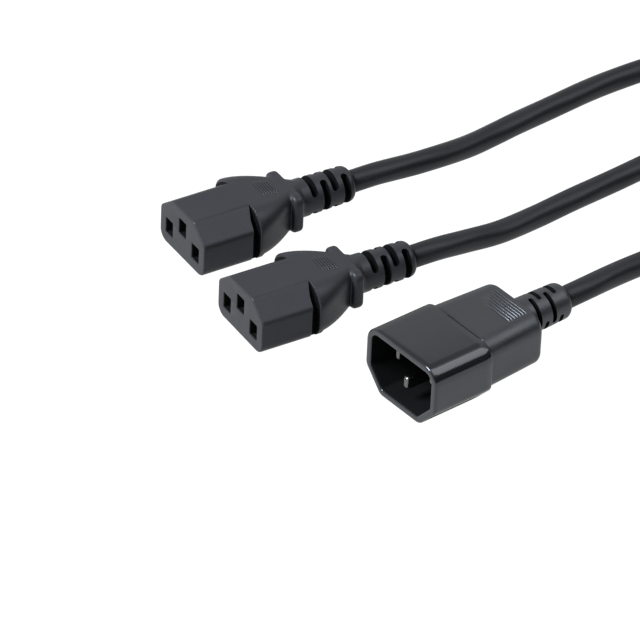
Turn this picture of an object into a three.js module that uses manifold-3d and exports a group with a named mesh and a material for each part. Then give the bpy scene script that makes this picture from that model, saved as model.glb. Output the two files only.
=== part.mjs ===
// Power cord splitter: one inlet plug feeds two outlet sockets through a moulded Y junction.
// Millimetres, +Z up, everything lies on the plane z = 0.
// The origin is the middle of the junction's underside and +X runs from the legs to the tail.
// Each connector is built in its own frame: its front face lies at x = 0, the cord leaves along +X
// and z = 0 is the surface that it rests on.

import * as THREE from 'three';
import { mergeVertices } from 'three/addons/utils/BufferGeometryUtils.js';
import Module from 'manifold-3d';

const wasm = await Module();
wasm.setup();

// Shared sizes
const seatGap = 0.3; // between two pieces that touch in the real object
const cordDiameter = 6.5;
const pinSpacing = 14; // live to neutral, centre to centre
const earthOffset = 4; // earth pin above or below the line through the other two
const arcSteps = 4; // straight pieces in each rounded corner
const reliefSides = 24;
const nearlyRound = 0.996; // corner radius of a square outline that stands for a circle, over half its side

// Strain relief that every moulding ends in
const reliefDiameter = 11.2;
const reliefEndDiameter = 10.4;
const reliefEndRadius = 1.8;
const reliefSlotWidth = 1.5;
const reliefCoreDiameter = 6.9; // what is left under the slots
const overcut = 1; // how far a cutting shape stands past what it cuts
const edgeShare = 0.3; // where a rounded rim has its middle section, as a share of its radius

// Socket, from its face backwards
const socketWidth = 23.8;
const socketHeight = 15.4;
const socketKeyWide = 5.2; // cut corner, across
const socketKeyHigh = 4.7; // cut corner, up
const socketKeyRadius = 1.6;
const socketFootRadius = 3.2;
const socketEdge = 0.35; // rounding of the face's edge
const socketShoulderAt = 17.6;
const socketGrooveWidth = 1.6;
const socketGrooveDepth = 2.2;
const shoulderWidth = 25.4;
const shoulderTopRadius = 6.2;
const shoulderFootRadius = 5.2;
const waistAt = 30.8; // where the ears start
const waistWidth = 12.8;
const waistHeight = 12.6;
const waistRadius = 2.8;
const taperAcross = 1.5; // power of the curve by which the sides draw in towards the waist
const taperUp = 1.6; // the same for top and bottom
const earThickness = 3.2;
const earWidth = 18.2;
const earHeight = 11.8;
const earRise = 0.3; // middle of the ears above the socket's axis
const earRadius = 2.2;
const earEdge = 1;
const socketReliefAt = 35.8;
const socketLength = 53;
const socketSlotRings = 4;
const socketSlotPitch = 3.35;
const socketFirstSlotAt = 39.8;
const socketTopSlotSpan = 124; // degrees of each top and bottom slot
const socketSideSlotSpan = 138; // degrees of each side slot
const socketRibCount = 6;
const socketRibPitch = 0.83;
const socketRibFirstAt = 24;
const socketRibLength = 6.6;
const ribWidth = 0.45;
const ribHeight = 0.28;

// Openings in the socket's face and the contacts behind them
const slotWide = 3.3;
const slotHigh = 4.8;
const slotLeadIn = 0.4;
const slotCornerRadius = 0.3;
const faceThickness = 2.2;
const carrierInset = 1.5; // wall of the overmould round the carrier
const carrierBackWall = 1.6;
const contactLength = 11;
const contactWide = 3.4;
const contactHigh = 5.2;
const contactWall = 0.5;
const contactCornerRadius = 0.4;

// Plug, from the rim of its shroud backwards
const shroudWidth = 28.8;
const shroudHeight = 20;
const shroudWall = 2;
const shroudLength = 19.8;
const cavityDepth = 16.6;
const cavityKeyWide = 5;
const cavityKeyHigh = 5.6;
const cavityCornerRadius = 1.4;
const shroudTopRadius = 3.4;
const shroudKeyRadius = 3;
const shroudEdge = 0.5;
const stubWidth = 19;
const stubHeight = 11.2;
const stubAxis = 10.7;
const stubLength = 11;
const stubRadius = 1;
const pinWide = 2;
const pinHigh = 4;
const pinTipDepth = 3.2; // live and neutral tips below the rim
const earthTipDepth = 1.4;
const pinTailLength = 4; // behind the stub
const pinTipTaper = 0.5;
const pinCornerRadius = 0.5;
const gripWidth = 26.2;
const gripBackWidth = 23.5;
const gripHeight = 15.7;
const gripAxis = 11.65; // middle height of the grip above the surface
const gripTopRadius = 3.4;
const gripFootRadius = 4.5;
const gripBackAt = 39.9;
const gripBackRadius = 2;
const gripRibPitch = 0.98;
const gripRibFirstAt = 31.1;
const gripRibNearEnd = 8.8; // from the plug's axis towards -Y
const gripRibFarEnds = [0.6, 2.4, 3.8, 4.4, 5, 5.6, 6.2]; // from the axis towards +Y, front to back
const plugReliefAt = 41.4;
const plugReliefAxis = 12.2; // the cord leaves above the middle of the shroud
const plugLength = 56.2;
const plugSlotRings = 4;
const plugSlotPitch = 2.6;
const plugFirstSlotAt = 44;
const plugSlotSpan = 108; // degrees of each slot
const plugSlotTurn = -56; // degrees from straight up to the middle of the first near slot, towards +Y

// Junction, centred on the origin
const junctionLength = 38;
const junctionHeight = 13;
const junctionLegWidth = 29;
const junctionTailWidth = 17;
const junctionRadius = 4.5;
const legSpacing = 15.5;
const legCollarLength = 12;
const tailCollarLength = 18;
const junctionEndEdge = 1.2;

// Layout on the surface: how far each front face lies ahead of the junction's middle and aside of it
const plugAhead = 229;
const plugAside = 62.2;
const socketAAhead = 232.9;
const socketAAside = 26.4;
const socketATurn = -7.8; // degrees about +Z
const socketBAhead = 242;
const socketBAside = 10.6;
const socketBTurn = -8.4;

const plugPlace = { x: -plugAhead, y: -plugAside, turn: 0 };
const socketPlaces = {
  socket_a: { x: -socketAAhead, y: socketAAside, turn: socketATurn },
  socket_b: { x: -socketBAhead, y: -socketBAside, turn: socketBTurn },
};

// Small helpers

function solidFrom(geometry) {
  const bare = geometry.clone();
  bare.deleteAttribute('normal');
  bare.deleteAttribute('uv');
  const merged = mergeVertices(bare, 1e-4);
  const mesh = new wasm.Mesh({
    numProp: 3,
    vertProperties: new Float32Array(merged.attributes.position.array),
    triVerts: new Uint32Array(merged.index.array),
  });
  return new wasm.Manifold(mesh);
}

function geometryFrom(solid) {
  const mesh = solid.getMesh();
  const geometry = new THREE.BufferGeometry();
  geometry.setAttribute('position', new THREE.Float32BufferAttribute(mesh.vertProperties, 3));
  geometry.setIndex(Array.from(mesh.triVerts));
  return geometry;
}

// Rounds every corner of an anticlockwise outline, each with its own radius.
function roundedOutline(corners) {
  const points = [];
  corners.forEach((corner, i) => {
    const before = corners[(i + corners.length - 1) % corners.length];
    const after = corners[(i + 1) % corners.length];
    const here = new THREE.Vector2(corner.y, corner.z);
    const toBefore = new THREE.Vector2(before.y, before.z).sub(here).normalize();
    const toAfter = new THREE.Vector2(after.y, after.z).sub(here).normalize();
    const half = toBefore.angleTo(toAfter) / 2;
    const reach = corner.radius / Math.tan(half);
    const middle = toBefore.clone().add(toAfter).normalize().multiplyScalar(corner.radius / Math.sin(half));
    const centre = here.clone().add(middle);
    const start = here.clone().addScaledVector(toBefore, reach).sub(centre);
    const sweep = Math.PI - 2 * half;
    for (let step = 0; step <= arcSteps; step += 1) {
      const spoke = start.clone().rotateAround(new THREE.Vector2(), (sweep * step) / arcSteps);
      points.push(spoke.add(centre));
    }
  });
  return points;
}

// A rectangle with its own radii at the top and at the foot.
function boxOutline(width, height, topRadius, footRadius, middle) {
  const side = width / 2;
  const top = middle + height / 2;
  const foot = middle - height / 2;
  return roundedOutline([
    { y: side, z: foot, radius: footRadius },
    { y: side, z: top, radius: topRadius },
    { y: -side, z: top, radius: topRadius },
    { y: -side, z: foot, radius: footRadius },
  ]);
}

// A rectangle with two cut corners: at the top for a socket, at the foot for an inlet.
function keyedOutline(size, keyAtTop, middle) {
  const side = size.width / 2;
  const up = keyAtTop ? 1 : -1;
  const key = middle + (up * size.height) / 2;
  const plain = middle - (up * size.height) / 2;
  const corners = [
    { y: side, z: plain, radius: size.plainRadius },
    { y: side, z: key - up * size.keyHigh, radius: size.keyRadius },
    { y: side - size.keyWide, z: key, radius: size.keyRadius },
    { y: -side + size.keyWide, z: key, radius: size.keyRadius },
    { y: -side, z: key - up * size.keyHigh, radius: size.keyRadius },
    { y: -side, z: plain, radius: size.plainRadius },
  ];
  return roundedOutline(keyAtTop ? corners : corners.reverse());
}

// Joins outlines with equal point counts, from front to back, and closes both ends.
function loft(sections) {
  const count = sections[0].outline.length;
  const positions = [];
  sections.forEach(({ x, outline }) => {
    outline.forEach((point) => positions.push(x, point.x, point.y));
  });
  const index = [];
  for (let s = 0; s + 1 < sections.length; s += 1) {
    for (let i = 0; i < count; i += 1) {
      const a = s * count + i;
      const b = s * count + ((i + 1) % count);
      index.push(a, b, b + count, a, b + count, a + count);
    }
  }
  const last = (sections.length - 1) * count;
  THREE.ShapeUtils.triangulateShape(sections[0].outline, []).forEach(([a, b, c]) => {
    index.push(c, b, a);
  });
  THREE.ShapeUtils.triangulateShape(sections[sections.length - 1].outline, []).forEach(([a, b, c]) => {
    index.push(last + a, last + b, last + c);
  });
  const geometry = new THREE.BufferGeometry();
  geometry.setAttribute('position', new THREE.Float32BufferAttribute(positions, 3));
  geometry.setIndex(index);
  return solidFrom(geometry);
}

function prism(outline, from, to) {
  return loft([{ x: from, outline }, { x: to, outline }]);
}

function block(from, to, y0, y1, z0, z1) {
  const geometry = new THREE.BoxGeometry(to - from, y1 - y0, z1 - z0);
  geometry.translate((from + to) / 2, (y0 + y1) / 2, (z0 + z1) / 2);
  return solidFrom(geometry);
}

// A turned piece whose axis runs along X at height z. The profile lists [x, radius].
function turned(profile, y, z, sides = reliefSides) {
  const geometry = new THREE.LatheGeometry(profile.map(([x, r]) => new THREE.Vector2(r, x)), sides);
  geometry.rotateZ(-Math.PI / 2);
  geometry.translate(0, y, z);
  return solidFrom(geometry);
}

// Strain relief: slightly tapered, with a rounded end. It overlaps the body in front by one radius.
function relief(from, to, startDiameter, endDiameter, y, z) {
  const end = endDiameter / 2;
  const profile = [[from - reliefDiameter / 4, 0], [from - reliefDiameter / 4, startDiameter / 2]];
  profile.push([to - reliefEndRadius, end]);
  for (let step = 1; step <= arcSteps; step += 1) {
    const angle = (Math.PI / 2) * (step / arcSteps);
    profile.push([
      to - reliefEndRadius + reliefEndRadius * Math.sin(angle),
      end - reliefEndRadius + reliefEndRadius * Math.cos(angle),
    ]);
  }
  profile.push([to, 0]);
  return turned(profile, y, z);
}

// One slot round part of a strain relief, with round ends. Angles are degrees from straight up.
function ringSlot(at, middleAngle, span, z) {
  const deep = reliefCoreDiameter / 2;
  const wide = reliefDiameter;
  const endReach = THREE.MathUtils.radToDeg(reliefSlotWidth / reliefDiameter);
  const from = THREE.MathUtils.degToRad(middleAngle - span / 2 + endReach);
  const to = THREE.MathUtils.degToRad(middleAngle + span / 2 - endReach);
  const steps = Math.max(3, Math.round(span / 15));
  const sector = new THREE.Shape();
  for (let step = 0; step <= steps; step += 1) {
    const angle = from + ((to - from) * step) / steps;
    const point = [wide * Math.sin(angle), wide * Math.cos(angle)];
    if (step === 0) sector.moveTo(...point);
    else sector.lineTo(...point);
  }
  for (let step = steps; step >= 0; step -= 1) {
    const angle = from + ((to - from) * step) / steps;
    sector.lineTo(deep * Math.sin(angle), deep * Math.cos(angle));
  }
  const band = new THREE.ExtrudeGeometry(sector, { depth: reliefSlotWidth, bevelEnabled: false });
  band.translate(0, 0, -reliefSlotWidth / 2);
  band.rotateZ(Math.PI / 2);
  band.rotateY(Math.PI / 2);
  band.translate(at, 0, z);
  let slot = solidFrom(band);
  [from, to].forEach((angle) => {
    const end = new THREE.CylinderGeometry(reliefSlotWidth / 2, reliefSlotWidth / 2, wide - deep, 10);
    end.translate(0, (wide + deep) / 2, 0);
    end.rotateX(Math.PI / 2);
    end.rotateX(-angle);
    end.translate(at, 0, z);
    slot = slot.add(solidFrom(end));
  });
  return slot;
}

// Fine grip ribs that run across, from y0 to y1 each, laid on a top surface that may fall backwards.
function gripRibs(firstAt, pitch, ends, heightAt) {
  let ribs = null;
  ends.forEach(([y0, y1], i) => {
    const at = firstAt + i * pitch;
    const top = heightAt(at);
    const rib = block(at - ribWidth / 2, at + ribWidth / 2, y0, y1, top - 2 * ribHeight, top + ribHeight);
    ribs = ribs ? ribs.add(rib) : rib;
  });
  return ribs;
}

// Cuts rings of slots, two facing slots in each ring, with every other ring turned by a quarter.
function slottedRelief(body, count, firstAt, pitch, turn, spans, z) {
  let left = body;
  for (let ring = 0; ring < count; ring += 1) {
    const at = firstAt + ring * pitch;
    const middle = turn + (ring % 2) * 90;
    [middle, middle + 180].forEach((angle) => {
      left = left.subtract(ringSlot(at, angle, spans[ring % 2], z));
    });
  }
  return left;
}

// Socket

const socketAxis = socketHeight / 2;
const socketKey = {
  width: socketWidth,
  height: socketHeight,
  keyWide: socketKeyWide,
  keyHigh: socketKeyHigh,
  keyRadius: socketKeyRadius,
  plainRadius: socketFootRadius,
};
const shrunk = (size, by) => ({
  ...size,
  width: size.width - 2 * by,
  height: size.height - 2 * by,
  keyRadius: Math.max(size.keyRadius - by, seatGap),
  plainRadius: Math.max(size.plainRadius - by, seatGap),
});
const carrierFront = faceThickness;
const carrierBack = carrierFront + contactLength + carrierBackWall;

// Live, neutral and earth places across and up from the socket's axis.
const socketPoles = {
  live: { y: pinSpacing / 2, z: socketAxis - earthOffset / 2 },
  neutral: { y: -pinSpacing / 2, z: socketAxis - earthOffset / 2 },
  earth: { y: 0, z: socketAxis + earthOffset / 2 },
};

function socketFront() {
  const full = keyedOutline(socketKey, true, socketAxis);
  const face = keyedOutline(shrunk(socketKey, socketEdge), true, socketAxis);
  const rim = keyedOutline(shrunk(socketKey, socketEdge * edgeShare), true, socketAxis);
  const back = socketShoulderAt + socketGrooveWidth;
  const body = loft([
    { x: 0, outline: face },
    { x: socketEdge * edgeShare, outline: rim },
    { x: socketEdge, outline: full },
    { x: back, outline: full },
  ]);
  // The groove in front of the shoulder cuts the sides and fades out along the cut corners.
  const side = socketWidth / 2 - socketGrooveDepth;
  const top = socketHeight + overcut;
  const shape = new THREE.Shape([
    new THREE.Vector2(side, -overcut),
    new THREE.Vector2(side, socketHeight - socketKeyHigh - socketGrooveDepth / 2),
    new THREE.Vector2(socketWidth / 2 - socketKeyWide, socketHeight),
    new THREE.Vector2(socketWidth / 2 - socketKeyWide, top),
    new THREE.Vector2(-socketWidth / 2 + socketKeyWide, top),
    new THREE.Vector2(-socketWidth / 2 + socketKeyWide, socketHeight),
    new THREE.Vector2(-side, socketHeight - socketKeyHigh - socketGrooveDepth / 2),
    new THREE.Vector2(-side, -overcut),
  ]);
  const from = socketShoulderAt - socketGrooveWidth;
  const core = prism(shape.getPoints(), from - overcut, socketShoulderAt + overcut);
  const around = block(from, socketShoulderAt, -socketWidth, socketWidth, -2 * overcut, top + overcut);
  const ring = around.subtract(core);
  return body.subtract(ring);
}

// Width and height of the tapering back of the socket at a distance from the face.
function socketBackSize(x) {
  const share = (x - socketShoulderAt) / (waistAt - socketShoulderAt);
  const along = Math.min(Math.max(share, 0), 1);
  return {
    width: shoulderWidth + (waistWidth - shoulderWidth) * along ** taperAcross,
    height: socketHeight + (waistHeight - socketHeight) * along ** taperUp,
  };
}

function socketBack() {
  const steps = 7;
  const sections = [];
  for (let step = 0; step <= steps; step += 1) {
    const x = socketShoulderAt + ((waistAt - socketShoulderAt) * step) / steps;
    const size = socketBackSize(x);
    const share = step / steps;
    const top = shoulderTopRadius + (waistRadius - shoulderTopRadius) * share;
    const foot = shoulderFootRadius + (waistRadius - shoulderFootRadius) * share;
    sections.push({ x, outline: boxOutline(size.width, size.height, top, foot, socketAxis) });
  }
  const round = (reliefDiameter / 2) * nearlyRound;
  const end = boxOutline(reliefDiameter, reliefDiameter, round, round, socketAxis);
  sections.push({ x: socketReliefAt, outline: end });
  return loft(sections);
}

function socketEars() {
  const edge = earEdge;
  const outline = (by) => {
    const radius = earRadius - by;
    return boxOutline(earWidth - 2 * by, earHeight - 2 * by, radius, radius, socketAxis + earRise);
  };
  return loft([
    { x: waistAt, outline: outline(edge) },
    { x: waistAt + edge * edgeShare, outline: outline(edge * edgeShare) },
    { x: waistAt + edge, outline: outline(0) },
    { x: waistAt + earThickness - edge, outline: outline(0) },
    { x: waistAt + earThickness - edge * edgeShare, outline: outline(edge * edgeShare) },
    { x: waistAt + earThickness, outline: outline(edge) },
  ]);
}

function socketRelief() {
  const body = relief(socketReliefAt, socketLength, reliefDiameter, reliefEndDiameter, 0, socketAxis);
  const spans = [socketTopSlotSpan, socketSideSlotSpan];
  return slottedRelief(body, socketSlotRings, socketFirstSlotAt, socketSlotPitch, 0, spans, socketAxis);
}

function contactOpening(pole) {
  const half = slotWide / 2;
  const high = slotHigh / 2;
  const corner = slotCornerRadius;
  const outline = (grow) => boxOutline(2 * (half + grow), 2 * (high + grow), corner, corner, pole.z)
    .map((point) => new THREE.Vector2(point.x + pole.y, point.y));
  return loft([
    { x: -overcut, outline: outline(slotLeadIn * 2) },
    { x: 0, outline: outline(slotLeadIn) },
    { x: slotLeadIn, outline: outline(0) },
    { x: faceThickness + overcut, outline: outline(0) },
  ]);
}

function socketOvermould() {
  let body = socketFront().add(socketBack()).add(socketEars()).add(socketRelief());
  const topAt = (x) => socketAxis + socketBackSize(x).height / 2;
  const ends = Array(socketRibCount).fill([-socketRibLength / 2, socketRibLength / 2]);
  body = body.add(gripRibs(socketRibFirstAt, socketRibPitch, ends, topAt));
  const pocket = keyedOutline(shrunk(socketKey, carrierInset - seatGap), true, socketAxis);
  body = body.subtract(prism(pocket, carrierFront - seatGap, carrierBack + seatGap));
  Object.values(socketPoles).forEach((pole) => {
    body = body.subtract(contactOpening(pole));
  });
  return body;
}

function contactCell(pole, grow) {
  const corner = contactCornerRadius;
  const outline = boxOutline(contactWide + 2 * grow, contactHigh + 2 * grow, corner, corner, pole.z);
  return outline.map((point) => new THREE.Vector2(point.x + pole.y, point.y));
}

function socketCarrier() {
  const outline = keyedOutline(shrunk(socketKey, carrierInset), true, socketAxis);
  const cellBack = carrierFront + contactLength + seatGap;
  let body = prism(outline, carrierFront, carrierBack);
  Object.values(socketPoles).forEach((pole) => {
    body = body.subtract(prism(contactCell(pole, seatGap), carrierFront - overcut, cellBack));
  });
  return body;
}

// A folded brass sleeve that a pin slides into.
function socketContact(pole) {
  const from = carrierFront + seatGap;
  const to = carrierFront + contactLength;
  const body = prism(contactCell(pole, 0), from, to);
  return body.subtract(prism(contactCell(pole, -contactWall), from - overcut, to - 2 * contactWall));
}

// Plug

const plugAxis = shroudHeight / 2;
const cavity = {
  width: shroudWidth - 2 * shroudWall,
  height: shroudHeight - 2 * shroudWall,
  keyWide: cavityKeyWide,
  keyHigh: cavityKeyHigh,
  keyRadius: cavityCornerRadius,
  plainRadius: cavityCornerRadius,
};
// A wall of even thickness moves each end of a cut corner by the wall times this share.
const keyShift = Math.tan(Math.PI / 8);
const shroud = {
  width: shroudWidth,
  height: shroudHeight,
  keyWide: cavityKeyWide + shroudWall * (1 - keyShift),
  keyHigh: cavityKeyHigh + shroudWall * (1 - keyShift),
  keyRadius: shroudKeyRadius,
  plainRadius: shroudTopRadius,
};
const plugPoles = {
  live: { y: pinSpacing / 2, z: plugAxis + earthOffset / 2, tip: pinTipDepth },
  neutral: { y: -pinSpacing / 2, z: plugAxis + earthOffset / 2, tip: pinTipDepth },
  earth: { y: 0, z: plugAxis - earthOffset / 2, tip: earthTipDepth },
};
const stubBack = shroudLength + stubLength;

function pinOutline(pole, grow) {
  const corner = pinCornerRadius;
  const outline = boxOutline(pinWide + 2 * grow, pinHigh + 2 * grow, corner, corner, pole.z);
  return outline.map((point) => new THREE.Vector2(point.x + pole.y, point.y));
}

function plugShroud() {
  const full = keyedOutline(shroud, false, plugAxis);
  const rim = keyedOutline(shrunk(shroud, shroudEdge * edgeShare), false, plugAxis);
  let body = loft([
    { x: 0, outline: keyedOutline(shrunk(shroud, shroudEdge), false, plugAxis) },
    { x: shroudEdge * edgeShare, outline: rim },
    { x: shroudEdge, outline: full },
    { x: shroudLength, outline: full },
  ]);
  body = body.subtract(prism(keyedOutline(cavity, false, plugAxis), -overcut, cavityDepth));
  const stub = boxOutline(stubWidth, stubHeight, stubRadius, stubRadius, stubAxis);
  body = body.add(prism(stub, shroudLength - overcut, stubBack));
  Object.values(plugPoles).forEach((pole) => {
    body = body.subtract(prism(pinOutline(pole, seatGap), cavityDepth - overcut, stubBack + overcut));
  });
  return body;
}

function plugPin(pole) {
  return loft([
    { x: pole.tip, outline: pinOutline(pole, -pinTipTaper) },
    { x: pole.tip + pinTipTaper, outline: pinOutline(pole, -pinTipTaper / 4) },
    { x: pole.tip + 2 * pinTipTaper, outline: pinOutline(pole, 0) },
    { x: stubBack + pinTailLength, outline: pinOutline(pole, 0) },
  ]);
}

function plugOvermould() {
  const from = shroudLength + seatGap;
  const outlineAt = (x, by) => {
    const share = (x - from) / (gripBackAt - from);
    const width = gripWidth + (gripBackWidth - gripWidth) * share;
    const top = gripTopRadius - by / 2;
    const foot = gripFootRadius - by;
    return boxOutline(width - 2 * by, gripHeight - 2 * by, top, foot, gripAxis);
  };
  const sections = [from, gripBackAt - gripBackRadius].map((x) => ({ x, outline: outlineAt(x, 0) }));
  for (let step = 1; step <= arcSteps; step += 1) {
    const angle = (Math.PI / 2) * (step / arcSteps);
    const x = gripBackAt - gripBackRadius * (1 - Math.sin(angle));
    sections.push({ x, outline: outlineAt(x, gripBackRadius * (1 - Math.cos(angle))) });
  }
  let body = loft(sections);
  const top = gripAxis + gripHeight / 2;
  const ends = gripRibFarEnds.map((far) => [-gripRibNearEnd, far]);
  body = body.add(gripRibs(gripRibFirstAt, gripRibPitch, ends, () => top));
  const bare = relief(plugReliefAt, plugLength, reliefDiameter, reliefEndDiameter, 0, plugReliefAxis);
  const spans = [plugSlotSpan, plugSlotSpan];
  body = body.add(slottedRelief(
    bare,
    plugSlotRings,
    plugFirstSlotAt,
    plugSlotPitch,
    plugSlotTurn,
    spans,
    plugReliefAxis,
  ));
  const stubRoom = boxOutline(
    stubWidth + 2 * seatGap,
    stubHeight + 2 * seatGap,
    stubRadius,
    stubRadius,
    stubAxis,
  );
  body = body.subtract(prism(stubRoom, shroudLength - overcut, stubBack + seatGap));
  Object.values(plugPoles).forEach((pole) => {
    const room = prism(pinOutline(pole, seatGap), stubBack - overcut, stubBack + pinTailLength + seatGap);
    body = body.subtract(room);
  });
  return body;
}

// Junction

const junctionAxis = junctionHeight / 2;
const junctionFront = -junctionLength / 2;
const junctionBack = junctionLength / 2;
const legEnd = junctionFront - legCollarLength;
const tailEnd = junctionBack + tailCollarLength;

function junctionOvermould() {
  const steps = 8;
  const sections = [];
  for (let step = 0; step <= steps; step += 1) {
    const share = step / steps;
    const ease = share * share * (3 - 2 * share);
    const width = junctionLegWidth + (junctionTailWidth - junctionLegWidth) * ease;
    const x = junctionFront + junctionLength * share;
    const outline = boxOutline(width, junctionHeight, junctionRadius, junctionRadius, junctionAxis);
    sections.push({ x, outline });
  }
  const endOutline = (width) => boxOutline(
    width - 2 * junctionEndEdge,
    junctionHeight - 2 * junctionEndEdge,
    junctionRadius - junctionEndEdge,
    junctionRadius - junctionEndEdge,
    junctionAxis,
  );
  const first = { x: junctionFront - junctionEndEdge, outline: endOutline(junctionLegWidth) };
  const last = { x: junctionBack + junctionEndEdge, outline: endOutline(junctionTailWidth) };
  let body = loft([first, ...sections, last]);
  body = body.add(relief(junctionBack, tailEnd, reliefDiameter, reliefEndDiameter, 0, junctionAxis));
  [-legSpacing / 2, legSpacing / 2].forEach((y) => {
    const collar = relief(-junctionFront, -legEnd, reliefDiameter, reliefEndDiameter, y, junctionAxis);
    body = body.add(collar.rotate([0, 0, 180]));
  });
  return body;
}

// Cords: each leaves its connector straight, sinks to the surface and rises to the junction's collar.

const surfaceGap = 0.05;
const floorLine = cordDiameter / 2 + surfaceGap;
const straightOut = 8; // how far a cord runs straight behind its connector
const collarRun = 6.7; // straight run in front of a collar of the junction
const tailShift = 2.2; // how far the tail's run lies nearer to the legs than the plug's axis
const tailLoopAt = 57; // middle of the loop behind the junction's middle

// The point on a connector's axis at a distance behind its face.
function behind(place, distance, height) {
  const turn = THREE.MathUtils.degToRad(place.turn);
  return [place.x + distance * Math.cos(turn), place.y + distance * Math.sin(turn), height];
}

// Points between two ends. Each row gives the share of the way, the swing towards +Y and the height.
function between(start, end, rows) {
  return rows.map(([share, swing, height]) => [
    start[0] + (end[0] - start[0]) * share,
    start[1] + (end[1] - start[1]) * share + swing,
    height,
  ]);
}

function legRoute(place, collarY, rows) {
  const start = behind(place, socketLength + seatGap, socketAxis);
  const end = [legEnd - seatGap, collarY, junctionAxis];
  return [
    start,
    behind(place, socketLength + seatGap + straightOut, socketAxis),
    ...between(start, end, rows),
    [end[0] - collarRun, collarY, junctionAxis],
    end,
  ];
}

// The tail runs beside the legs, turns back in one loop behind the junction and enters its tail collar.
function tailRoute(sink, rise) {
  const start = behind(plugPlace, plugLength + seatGap, plugReliefAxis);
  const end = [tailEnd + seatGap, 0, junctionAxis];
  const loopRadius = (plugAside - tailShift) / 2;
  const loop = [-90, -45, 0, 45].map((degrees) => {
    const angle = THREE.MathUtils.degToRad(degrees);
    return [tailLoopAt + loopRadius * Math.cos(angle), loopRadius * (Math.sin(angle) - 1), floorLine];
  });
  return [
    start,
    behind(plugPlace, plugLength + seatGap + straightOut, plugReliefAxis),
    ...between(start, loop[0], sink),
    ...loop,
    ...between(loop[loop.length - 1], end, rise),
    end,
  ];
}

const cordRoutes = {
  leg_a_cord: legRoute(socketPlaces.socket_a, legSpacing / 2, [
    [0.162, -0.5, 6.2],
    [0.263, 1.1, 4.2],
    [0.364, 3.5, floorLine],
    [0.518, 6.1, floorLine],
    [0.666, 7.6, floorLine],
    [0.794, 5.2, 4.2],
    [0.908, 0.5, 6],
  ]),
  leg_b_cord: legRoute(socketPlaces.socket_b, -legSpacing / 2, [
    [0.116, -2.9, 6.4],
    [0.198, -3.7, 4.2],
    [0.293, -3.9, floorLine],
    [0.432, -4.9, floorLine],
    [0.565, -5.8, floorLine],
    [0.704, -4.7, floorLine],
    [0.818, -2.3, 4.2],
    [0.913, 0.1, 6],
  ]),
  tail_cord: tailRoute([
    [0.1, 1, 11.2],
    [0.187, 1.8, 8.6],
    [0.266, 1.8, 5.2],
    [0.345, 1.6, floorLine],
    [0.489, 1.1, floorLine],
    [0.664, 0.7, floorLine],
    [0.838, 0.4, floorLine],
  ], [
    [0.396, 4.4, 4.6],
    [0.738, 2.3, 6.4],
  ]),
};

const cordSides = 10;
const cordStep = 14;

function cordTube(points) {
  const path = new THREE.CatmullRomCurve3(points.map((p) => new THREE.Vector3(...p)), false, 'centripetal');
  const section = new THREE.Shape();
  for (let i = 0; i < cordSides; i += 1) {
    const angle = (2 * Math.PI * i) / cordSides;
    const point = [(cordDiameter / 2) * Math.cos(angle), (cordDiameter / 2) * Math.sin(angle)];
    if (i === 0) section.moveTo(...point);
    else section.lineTo(...point);
  }
  const steps = Math.round(path.getLength() / cordStep);
  return new THREE.ExtrudeGeometry(section, { steps, extrudePath: path, bevelEnabled: false });
}

// Materials

const black = (roughness) => new THREE.MeshStandardMaterial({ color: 0x2b2c2e, roughness, metalness: 0 });
const overmouldMaterial = () => black(0.55);
const carrierMaterial = () => black(0.6);
const shroudMaterial = () => black(0.25);
const sheathMaterial = () => black(0.5);
const metal = (color, roughness) => new THREE.MeshStandardMaterial({ color, roughness, metalness: 1 });
const brassMaterial = () => metal(0xb08d4a, 0.35);
const nickelMaterial = () => metal(0xc9c9c6, 0.25);

// Assembly

const splitter = new THREE.Group();

function addMesh(parent, name, shape, material) {
  const geometry = shape instanceof wasm.Manifold ? geometryFrom(shape) : shape;
  const mesh = new THREE.Mesh(geometry, material);
  mesh.name = name;
  parent.add(mesh);
}

function placedGroup(place) {
  const group = new THREE.Group();
  group.position.set(place.x, place.y, 0);
  group.rotation.z = THREE.MathUtils.degToRad(place.turn);
  splitter.add(group);
  return group;
}

Object.entries(socketPlaces).forEach(([name, place]) => {
  const group = placedGroup(place);
  addMesh(group, `${name}_overmould`, socketOvermould(), overmouldMaterial());
  addMesh(group, `${name}_carrier`, socketCarrier(), carrierMaterial());
  Object.entries(socketPoles).forEach(([pole, at]) => {
    addMesh(group, `${name}_${pole}_contact`, socketContact(at), brassMaterial());
  });
});

const plug = placedGroup(plugPlace);
addMesh(plug, 'plug_shroud', plugShroud(), shroudMaterial());
addMesh(plug, 'plug_overmould', plugOvermould(), overmouldMaterial());
Object.entries(plugPoles).forEach(([pole, at]) => {
  addMesh(plug, `plug_${pole}_pin`, plugPin(at), nickelMaterial());
});

addMesh(splitter, 'junction_overmould', junctionOvermould(), overmouldMaterial());

Object.entries(cordRoutes).forEach(([name, points]) => {
  addMesh(splitter, name, cordTube(points), sheathMaterial());
});

export default splitter;
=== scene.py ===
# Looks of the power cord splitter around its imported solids.
# Shapes are made in millimetres in each connector's own frame (face at x = 0, cord leaving along +X,
# resting surface at z = 0), then turned, placed and scaled to metres.
import math

import bmesh
import bpy
from mathutils import Matrix, Vector


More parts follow.
